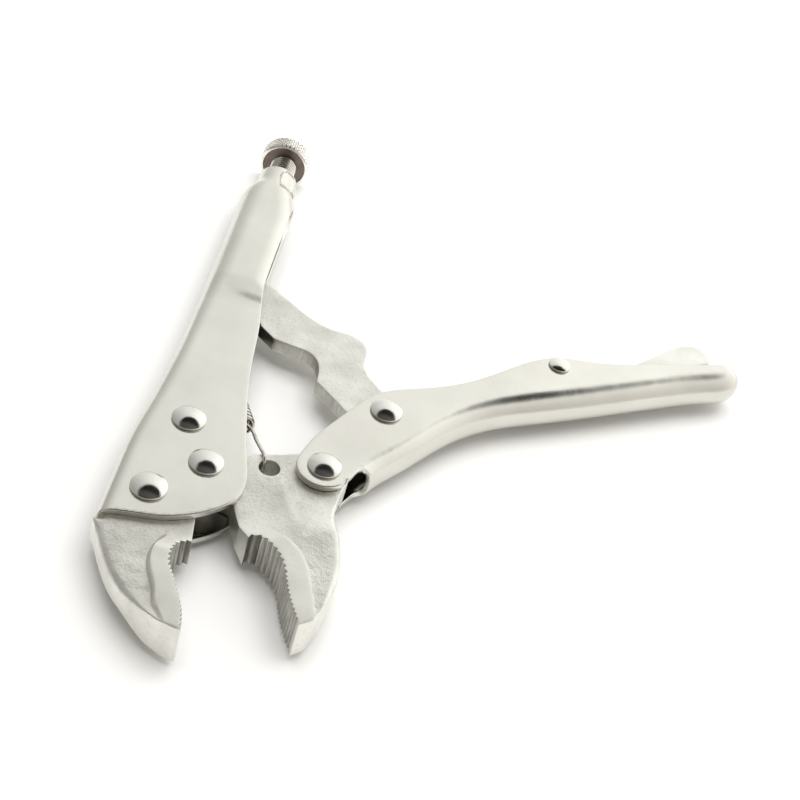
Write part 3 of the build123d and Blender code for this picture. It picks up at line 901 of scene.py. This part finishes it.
def fixed_jaw():
    tip, corner = (8.7, -62.0), (-24.8, -29.9)
    hook = toothed([(3.6, -29.6), (0.6, -31.6), (-0.5, -35.2), (-0.5, -38.0), (0.6, -41.6)], 8, -0.85)
    reach = toothed([(0.6, -41.6), (4.6, -49.0), (7.3, -55.2), tip], 15, -0.6)
    back = spline([tip, (4.6, -61.2), (-4.4, -56.7), (-13.4, -49.0), (-20.0, -39.1), corner])
    shank = line(corner, (-22.75, -29.0), (-22.7, -18.0), (-21.0, 10.0), (-20.9, 24.0), step=1.0)
    top = line((-20.9, 24.0), (-3.0, 24.0), (-3.0, 12.0), (-7.0, 7.5), step=1.0)
    hub = arc((-7.0, 7.5), (-10.2, 0.3), (-8.2, -6.2))
    throat = line((-8.2, -6.2), (2.2, -19.5), (3.6, -29.6))
    outline = anticlockwise(chain(hook, reach, back, shank, top, hub, throat))
    teeth = on_curves(outline, (hook, reach), 0.05)
    from_tip, from_corner = distance(outline, tip), distance(outline, corner)
    back_edge = 0.35 + 1.7 * smooth((from_tip - 9.0) / 12.0) * smooth(from_corner / 5.0)
    shank_edge = np.where(outline[:, 1] < -28.95, 0.35 + 0.6 * np.clip(from_corner, 0, 2.2), 2.35)
    edge = np.where(on_curves(outline, (shank,), 0.05), shank_edge, PLAIN_EDGE)
    edge = np.where(on_curves(outline, (back,), 0.05), back_edge, edge)
    edge = softened(np.where(teeth, TOOTH_EDGE, edge), teeth, 3)
    pad = spline([(-2.0, -25.0), (-4.5, -30.5), (-6.2, -36.0), (-5.1, -43.2), (-2.2, -49.5), (0.0, -56.0),
                  (3.0, -60.2), (4.6, -66.0)], 0.4)
    pad_loop = np.concatenate([pad, [(20.0, -66.0), (20.0, -25.0)]])
    step_width = 1.2

    def height(p):
        rise = smooth((-27.5 - p[:, 1]) / 9.0)
        end = smooth((-50.0 - p[:, 1]) / 11.0)
        web = PLATE_GAP - 0.05 + 1.9 * end * rise
        pad_top = PLATE_GAP - 0.05 + 2.3 * rise
        share = pad_share(p, pad, pad_loop, step_width)
        rough = 0.10 * lumps(p, 3.2, 1.7) * (1 - share) * rise
        return web + (pad_top - web) * share + rough

    def mark(verts):
        tops = np.abs(verts[:, 2]) > height(verts) - 0.03
        on_teeth = on_curves(verts, (hook, reach), 0.04) & ~tops
        ground = pad_share(verts, pad, pad_loop, step_width) * smooth((-28.0 - verts[:, 1]) / 4.0) * tops
        return {"pad": ground, "teeth": on_teeth * tooth_wall_shade(verts, hook, reach)}

    extra = ring_points(pad, np.arange(-4, 5) / 4)
    holes = [circle(JAW_RIVET_REAR, RIVET_HOLE), circle(JAW_RIVET_FRONT, RIVET_HOLE)]
    verts, faces, marks = forged_solid(outline, height, edge, holes, mark, extra)
    return make_object("fixed_jaw_forging", verts, faces, "fixed_handle", ["fixed_jaw"],
                       [FORGED], 35, attribute=marks)


def moving_jaw():
    tip, tip_back = (38.2, -50.0), (41.6, -47.2)
    end = line(tip, tip_back)
    back = spline([tip_back, (44.6, -38.0), (45.9, -29.0), (44.9, -19.5), (42.4, -10.5), (40.6, -4.0),
                   (41.2, 8.0)])
    ear = arc((41.2, 8.0), (39.6, 17.6), (30.5, 19.2))
    top = line((30.5, 19.2), (20.0, 14.0), (9.0, 10.2), (4.0, 8.7), step=1.0)
    hub = arc((4.0, 8.7), (-9.1, -3.0), (6.4, -7.1))
    side = line((6.4, -7.1), (10.2, -8.2), (12.4, -14.1), (14.8, -19.3), (18.4, -23.6))
    hook = toothed([(18.4, -23.6), (19.6, -22.4), (24.7, -24.2), (28.6, -28.3), (31.0, -33.6)], 9, 0.85)
    reach = toothed([(31.0, -33.6), (33.6, -41.0), (36.2, -46.3), tip], 11, 0.6)
    outline = anticlockwise(chain(end, back, ear, top, hub, side, hook, reach))
    teeth = on_curves(outline, (hook, reach), 0.05)
    from_tip = distance(outline, tip_back)
    back_edge = 0.35 + 1.6 * smooth((from_tip - 5.0) / 10.0) * smooth((2.0 - outline[:, 1]) / 12.0)
    edge = np.where(on_curves(outline, (back,), 0.05), back_edge, PLAIN_EDGE)
    edge = softened(np.where(teeth, TOOTH_EDGE, edge), teeth, 2)
    pad = spline([(17.0, -20.5), (21.5, -18.5), (27.0, -19.5), (34.5, -25.5), (38.2, -33.5), (40.6, -41.0),
                  (43.0, -50.0)], 0.4)
    pad_loop = np.concatenate([pad, [(43.5, -56.0), (10.0, -56.0), (10.0, -22.0)]])
    step_width = 0.8

    def height(p):
        from_pivot, from_ear = distance(p, JAW_PIVOT), distance(p, HANDLE_PIVOT)
        rise = smooth(np.minimum((from_pivot - 21.5) / 13.0, (from_ear - 13.0) / 14.0))
        share = pad_share(p, pad, pad_loop, step_width)
        rough = 0.09 * lumps(p, 3.0, 5.3) * (1 - share) * rise
        return PLATE_GAP - 0.2 + (2.2 + 0.2 * share) * rise + rough

    def mark(verts):
        tops = np.abs(verts[:, 2]) > height(verts) - 0.03
        on_teeth = on_curves(verts, (hook, reach), 0.04) & ~tops
        ground = pad_share(verts, pad, pad_loop, step_width) * tops
        return {"pad": ground, "teeth": on_teeth * tooth_wall_shade(verts, hook, reach)}

    extra = ring_points(pad, np.arange(-2, 3) / 4)
    holes = [circle(JAW_PIVOT, RIVET_HOLE), circle(HANDLE_PIVOT, RIVET_HOLE),
             circle(SPRING_HOLE, SPRING_HOLE_RADIUS)]
    verts, faces, marks = forged_solid(outline, height, edge, holes, mark, extra)
    return make_object("moving_jaw_forging", verts, faces, "moving_jaw", ["moving_jaw"],
                       [FORGED], 35, attribute=marks)


# ---------------------------------------------------------------- toggle link and release lever


def bar_height(points, pivot, boss, slope):
    """Half thickness of a flat bar that thickens to the plates in a boss round its pivot."""
    rise = smooth((boss - distance(points, pivot)) / slope)
    return LINK_HALF + (PLATE_GAP - 0.2 - LINK_HALF) * rise


def toggle_link():
    """A flat bar from its pivot to a rounded end on the screw's axis, under the screw's nose."""
    end_y = 99.5
    under_end, over_end = (SCREW_X - 2.6, end_y - 3.0), (SCREW_X + 2.4, end_y + 3.2)
    nose = arc(under_end, (SCREW_X - 1.2, end_y + 3.8), over_end, 0.4)
    upper = spline([over_end, (-2.1, 97.8), (7.6, 90.9), (15.9, 85.3), (23.6, 82.3), (30.7, 82.1)])
    bump = spline([(30.7, 82.1), (34.5, 80.6), (37.4, 77.2), (38.0, 73.5), (37.9, 69.5), (40.8, 62.7),
                   (46.6, 57.0), (54.6, 48.0)])
    ear = arc((54.6, 48.0), (51.3, 36.8), (42.2, 39.3))
    under = line((42.2, 39.3), (36.5, 42.6), (24.2, 53.8))
    waist = spline([(24.2, 53.8), (23.9, 59.5), (20.7, 65.9), (14.5, 67.6), (6.8, 68.8)])
    belly = line((6.8, 68.8), (1.2, 73.5), (-4.0, 83.0), under_end)
    outline = anticlockwise(chain(nose, upper, bump, ear, under, waist, belly))
    edge = np.full(len(outline), 0.28)

    def height(p):
        return bar_height(p, LINK_PIVOT, 7.4, 0.8) + 0.05 * lumps(p, 4.0, 9.1)

    def mark(verts):
        # painted shade: the link's side walls are darkened through the teeth attribute
        wall_shade = np.abs(verts[:, 2]) < height(verts) - 0.2
        return {"pad": np.full(len(verts), 0.35), "teeth": 0.42 * wall_shade}

    verts, faces, marks = forged_solid(outline, height, edge, [circle(LINK_PIVOT, RIVET_HOLE)], mark)
    return make_object("toggle_link_bar", verts, faces, "toggle_link", ["toggle_link"],
                       [FORGED], 35, attribute=marks)


def release_lever():
    """A flat bar inside the movable handle, whose rounded tail stands out of the channel."""
    inner_end, tail_end = (84.5, 73.5), (161.0, 126.4)
    upper = spline([inner_end, (90.0, 79.5), (98.0, 87.5), (103.0, 93.6), (112.0, 96.0), (124.0, 102.5),
                    (134.8, 112.2), (143.6, 122.2), (148.6, 127.2), (153.4, 130.0), (158.0, 129.6),
                    tail_end])
    lower = spline([tail_end, (161.1, 123.2), (158.4, 120.8), (150.0, 115.0), (138.0, 105.0), (120.0, 93.5),
                    (106.0, 86.2), (95.0, 79.5), (87.5, 71.5), inner_end])
    outline = anticlockwise(chain(upper, lower))
    edge = np.full(len(outline), 0.5)

    def height(p):
        return bar_height(p, LEVER_PIVOT, 4.4, 0.6)

    def mark(verts):
        return {"pad": np.full(len(verts), 0.8), "teeth": np.zeros(len(verts))}

    verts, faces, marks = forged_solid(outline, height, edge, [circle(LEVER_PIVOT, LEVER_HOLE, 24)], mark)
    return make_object("release_lever_bar", verts, faces, "release_lever", ["release_lever"],
                       [FORGED], 35, attribute=marks)


# ---------------------------------------------------------------- fasteners


def rivet(name, centre, body, head, shank=3.0, top=CHANNEL_HALF, dome=1.55):
    """A domed head over a short rim on the near side, and a peened tail on the far side."""
    rim, tail = 0.75, 1.3
    sphere = (head**2 + dome**2) / (2 * dome)
    low = top + rim
    profile = [(0, -top - tail), (head * 0.55, -top - tail), (head * 0.66, -top - tail + 0.12),
               (head * 0.86, -top - 0.5), (head * 0.92, -top - 0.12), (head * 0.9, -top - 0.005),
               (shank + 0.02, -top - 0.005), (shank + 0.02, top + 0.01), (head - 0.25, top + 0.01),
               (head - 0.06, top + 0.12), (head, top + 0.32), (head - 0.02, low - 0.2)]
    steps = 18
    for k in range(steps + 1):
        radius = (head - 0.12) * math.cos(k / steps * math.pi / 2)
        profile.append((radius, low + math.sqrt(sphere**2 - radius**2) - (sphere - dome)))
    profile[-1] = (0, low + dome)
    verts, faces = lathe(profile, 80)
    verts[:, :2] += centre
    return make_object("rivet_" + name, verts, faces, body, [name + "_rivet"],
                       [RIVET_METAL], 50)


# ---------------------------------------------------------------- adjusting screw


KNOB_FRONT = 175.5
KNOB_LENGTH = 6.8
KNOB_RADIUS = 9.7


def turned_to_y(verts):
    """Lathed vertices about Z laid along +Y at the screw's axis."""
    return np.stack([verts[:, 0] + SCREW_X, verts[:, 2], -verts[:, 1]], 1)


def adjusting_screw():
    """A right-hand M10 thread from the nose to just inside the knob, with painted shade in its grooves."""
    crest, pitch, start, end = 5.0, 1.5, 108.4, KNOB_FRONT + 0.5
    root, count = crest - 0.61 * pitch, 64
    # share of the pitch and radius
    shape = [(0.0, root), (0.10, root + 0.02), (0.44, crest - 0.02), (0.50, crest), (0.56, crest - 0.02),
             (0.90, root + 0.02)]
    turns = int((end - start) / pitch)
    verts, faces, groove_shade_values = [], [], []
    rows = turns * len(shape)
    for row in range(rows):
        turn, part = divmod(row, len(shape))
        share, radius = shape[part]
        for k in range(count + 1):
            y = start + (turn + share + k / count - 1) * pitch
            fade = min(1.0, max(0.0, (y - start) / 1.2)) * min(1.0, max(0.0, (end - y) / 0.8))
            y = min(max(y, start), end)
            a = -k / count * math.tau
            r = root + (radius - root) * fade
            verts.append((SCREW_X + r * math.cos(a), y, r * math.sin(a)))
            groove_shade_values.append(smooth((crest - 0.22 - r) / 0.16))
    for row in range(rows - 1):
        for k in range(count):
            a, b = row * (count + 1) + k, (row + 1) * (count + 1) + k
            faces.append([a, b, b + 1, a + 1])
    verts = np.array(verts)
    caps = []
    for y, flip in ((start, False), (end, True)):
        base = len(verts)
        ring = circle((0, 0), root - 0.01, count)
        cap = np.stack([ring[:, 0] + SCREW_X, np.full(count, y), ring[:, 1]], 1)
        verts = np.concatenate([verts, cap, [[SCREW_X, y, 0]]])
        groove_shade_values += [0.0] * (count + 1)
        for k in range(count):
            j = (k + 1) % count
            face = [base + k, base + j, base + count]
            caps.append(face[::-1] if flip else face)
    return make_object("adjusting_screw_thread", verts, faces + caps, "adjusting_screw",
                       ["adjusting_screw"], [SCREW_METAL], 60, attribute={"groove_shade": groove_shade_values})


def adjusting_knob():
    """A knurled disc: diamond-shaped points round its rim, and a shallow dish in both of its faces."""
    radius, start, end = KNOB_RADIUS, KNOB_FRONT, KNOB_FRONT + KNOB_LENGTH
    around, per_diamond, rim_rows, diamonds_along = 34, 10, 40, 3.5
    front = [(0.0, start + 0.4), (5.6, start + 0.4), (radius - 1.55, start + 0.4), (radius - 1.35, start),
             (radius - 0.85, start + 0.12)]
    rim = [(radius, start + 0.55 + (KNOB_LENGTH - 1.1) * k / rim_rows) for k in range(rim_rows + 1)]
    back = [(radius - 0.85, end - 0.12), (radius - 1.35, end), (radius - 3.0, end),
            (radius - 4.0, end - 0.8), (0.0, end - 0.8)]
    verts, faces = lathe(front + rim + back, around * per_diamond)
    r = np.hypot(verts[:, 0], verts[:, 1])
    a = np.arctan2(verts[:, 1], verts[:, 0]) / math.tau * around
    b = (verts[:, 2] - start) / KNOB_LENGTH * diamonds_along
    on_rim = np.abs(r - radius) < 1e-4
    one, other = np.abs(((a + b) % 1) - 0.5) * 2, np.abs(((a - b) % 1) - 0.5) * 2
    wave = np.maximum(one, other)
    fade = smooth((verts[:, 2] - start - 0.5) / 0.5) * smooth((end - 0.5 - verts[:, 2]) / 0.5)
    depth = np.where(on_rim, 0.38 * wave * fade + 0.35 * (1 - fade), 0.0)
    scale = np.where(r > 1e-6, (r - depth) / np.maximum(r, 1e-6), 1.0)
    verts[:, :2] *= scale[:, None]
    in_front_dish = (np.hypot(verts[:, 0], verts[:, 1]) < radius - 1.5) & (verts[:, 2] < start + 1)
    # the front dish's faces take the dark brown painted-shade material
    face_material = [int(in_front_dish[f].all()) for f in faces]
    # painted shade in the knurl's pits, between the diamond points
    pit_shade = smooth((np.minimum(one, other) - 0.52) / 0.3)
    groove_shade_values = np.where(on_rim, np.minimum(pit_shade, 1.0) * fade, 0.0)
    return make_object("adjusting_knob_knurled", turned_to_y(verts), faces, "adjusting_screw",
                       ["adjusting_knob"], [SCREW_METAL, KNOB_UNDERSIDE], 40, face_material=face_material,
                       attribute={"groove_shade": groove_shade_values})


def screw_nose():
    """The dome in front of the thread that the link's end bears on."""
    start, length, radius, steps = 106.4, 2.0, 3.6, 14
    sphere = (radius**2 + length**2) / (2 * length)
    profile = [(0.0, start)]
    for k in range(1, steps + 1):
        r = radius * math.sin(k / steps * math.pi / 2)
        profile.append((r, start + sphere - math.sqrt(sphere**2 - r**2)))
    profile.append((0.0, start + length))
    verts, faces = lathe(profile, 64)
    return make_object("screw_nose_dome", turned_to_y(verts), faces, "screw_nose",
                       ["screw_nose"], [SCREW_METAL], 50)


# ---------------------------------------------------------------- jaw spring


def swept(path, radius, sides=10):
    """A round wire along a path of points, with its frame carried from point to point."""
    path = np.array(path, float)
    ahead = np.gradient(path, axis=0)
    ahead /= np.linalg.norm(ahead, axis=1)[:, None]
    side = np.cross(ahead[0], (0, 0, 1.0))
    side /= np.linalg.norm(side)
    verts, faces = [], []
    for k, (p, a) in enumerate(zip(path, ahead)):
        side = side - a * (side @ a)
        side /= np.linalg.norm(side)
        up = np.cross(a, side)
        for j in range(sides):
            t = j / sides * math.tau
            verts.append(p + radius * (math.cos(t) * side + math.sin(t) * up))
        if k:
            for j in range(sides):
                i = (j + 1) % sides
                b = (k - 1) * sides
                faces.append([b + j, b + i, b + sides + i, b + sides + j])
    faces.append(list(range(sides))[::-1])
    faces.append([len(verts) - sides + j for j in range(sides)])
    return np.array(verts), faces


def jaw_spring():
    """The coil with a straight wire to the moving jaw's hole and one to the fixed handle's anchor."""
    front = np.array(SPRING_FRONT)
    axis = np.array(SPRING_REAR) - front
    length = np.linalg.norm(axis)
    axis /= length
    side = np.array((axis[1], -axis[0], 0.0))
    up = np.array((0.0, 0.0, 1.0))
    wire, coil = 0.58, 3.5
    turns, per_turn = 24, 28
    start_angle = math.radians(95)
    path = []
    for k in range(turns * per_turn + 1):
        a = start_angle + k / per_turn * math.tau
        p = front + axis * (wire + (length - 2 * wire) * k / (turns * per_turn))
        path.append(p + coil * (math.cos(a) * side + math.sin(a) * up))
    front_wire = spline([(16.2, 8.75, 0.4), (16.15, 8.8, 2.4), (16.1, 9.2, 4.7), (15.8, 10.4, 5.2),
                         (15.2, 11.9, 4.95), (13.4, 15.1, 4.35), (11.3, 18.9, 3.8), (9.2, 22.7, 3.25),
                         path[2]], 0.4)
    anchor = np.array((*SPRING_ANCHOR, 0.0))
    rear_wire = spline([path[-3], np.array(SPRING_REAR) + axis * 2.2, anchor + (5.4, 0.6, 0),
                        anchor + (2.0, 0.1, 0), anchor + (-0.6, 0.0, 0)], 0.5)
    verts, faces = swept(np.concatenate([front_wire[:-1], path[3:-3], rear_wire[1:]]), wire)
    obj = make_object("jaw_spring_coil", verts, faces, None, ["jaw_spring"], [WIRE_METAL], 60)

    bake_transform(obj)
    return obj


# ---------------------------------------------------------------- build

fixed_handle()
movable_handle()
fixed_jaw()
moving_jaw()
toggle_link()
release_lever()
for rivet_name, place, body_name, head_radius in (
        ("fixed_jaw_rear", JAW_RIVET_REAR, "fixed_handle", 5.3),
        ("fixed_jaw_front", JAW_RIVET_FRONT, "fixed_handle", 5.5),
        ("jaw_pivot", JAW_PIVOT, "fixed_handle", 5.3),
        ("handle_pivot", HANDLE_PIVOT, "movable_handle", 5.3),
        ("link_pivot", LINK_PIVOT, "movable_handle", 5.3)):
    rivet(rivet_name, place, body_name, head_radius)
rivet("release_lever", LEVER_PIVOT, "movable_handle", 3.8, shank=2.2, top=LEVER_HALF, dome=0.7)
adjusting_screw()
adjusting_knob()
screw_nose()
jaw_spring()


# ---------------------------------------------------------------- floor, light and camera

FLOOR_HALF = 3.0
OVERHEAD_WATTS = 17.0


def stage():
    """A plain floor."""
    corners = [(-FLOOR_HALF, -FLOOR_HALF, 0), (FLOOR_HALF, -FLOOR_HALF, 0), (FLOOR_HALF, FLOOR_HALF, 0),
               (-FLOOR_HALF, FLOOR_HALF, 0)]
    mesh = bpy.data.meshes.new("floor")
    mesh.from_pydata(corners, [], [(0, 1, 2, 3)])
    mesh.materials.append(material("pale_floor", build_floor))
    floor = bpy.data.objects.new("floor", mesh)
    bpy.context.scene.collection.objects.link(floor)


def light():
    """A white tent with a soft lamp over it.

    The tent is brightest behind and to the right, darker beside the camera, and has an elliptical dark
    opening overhead. The lamp lights the floor evenly and isn't mirrored in the metal.
    """
    world = bpy.data.worlds.new("tent")
    bpy.context.scene.world = world
    world.use_nodes = True
    tree = world.node_tree
    tree.nodes.clear()
    k = Nodes(tree)
    direction = k.add("ShaderNodeTexCoord").outputs["Generated"]
    split = k.add("ShaderNodeSeparateXYZ", {0: direction})
    x, y, z = split.outputs
    side = k.ramp(x, -0.8, 0.5, 0.45, 1.38)
    back = k.ramp(y, -0.9, 0.8, 0.35, 1.15)
    up = k.math("MAXIMUM", z, 0.05)
    across = k.math("DIVIDE", k.math("SUBTRACT", k.math("DIVIDE", x, up), 0.12), 0.68)
    slope = k.math("DIVIDE", y, up)
    along = k.math("MAXIMUM", k.math("DIVIDE", slope, 0.70), k.math("DIVIDE", slope, -1.0))
    squares = k.math("ADD", k.math("MULTIPLY", across, across), k.math("MULTIPLY", along, along))
    reach = k.math("SQRT", squares)
    darkest = k.ramp(slope, -0.05, 0.22, 0.13, 0.02)
    opening = k.math("MAXIMUM", k.ramp(reach, 0.84, 1.06), darkest)
    strength = k.math("MULTIPLY", k.math("MULTIPLY", side, back), opening)
    tint = k.mix(k.ramp(y, -0.7, 0.3), (1.0, 0.94, 0.88, 1), (1.0, 0.995, 0.965, 1))
    strength = k.math("MULTIPLY", strength, 1.05)
    background = k.add("ShaderNodeBackground", {"Color": tint, "Strength": strength})
    output = k.add("ShaderNodeOutputWorld")
    tree.links.new(background.outputs[0], output.inputs[0])

    lamp = bpy.data.lights.new("overhead", "AREA")
    lamp.shape = "RECTANGLE"
    lamp.size, lamp.size_y = 1.3, 1.1
    lamp.energy = OVERHEAD_WATTS
    lamp.color = (1.0, 0.998, 0.99)
    holder = bpy.data.objects.new("overhead", lamp)
    holder.location = (0.05, 0.15, 1.3)
    holder.visible_glossy = False
    bpy.context.scene.collection.objects.link(holder)


def camera():
    """Looks down from 40 degrees above the floor, rolled 18 degrees."""
    data = bpy.data.cameras.new("camera")
    data.lens = 63.0
    data.sensor_width = 36.0
    data.clip_start = 0.01
    data.clip_end = 10.0
    cam = bpy.data.objects.new("camera", data)
    bpy.context.scene.collection.objects.link(cam)
    position = np.array((30.279, -293.131, 300.45)) * MM + OFFSET
    right = Vector((0.96246, 0.13869, 0.23330))
    up = Vector((-0.26718, 0.63539, 0.72450))
    back = right.cross(up)
    rotation = Matrix((right, up, back)).transposed().to_4x4()
    cam.matrix_world = Matrix.Translation(Vector(position)) @ rotation
    bpy.context.scene.camera = cam


stage()
light()
camera()
bpy.context.scene.view_settings.view_transform = "Standard"
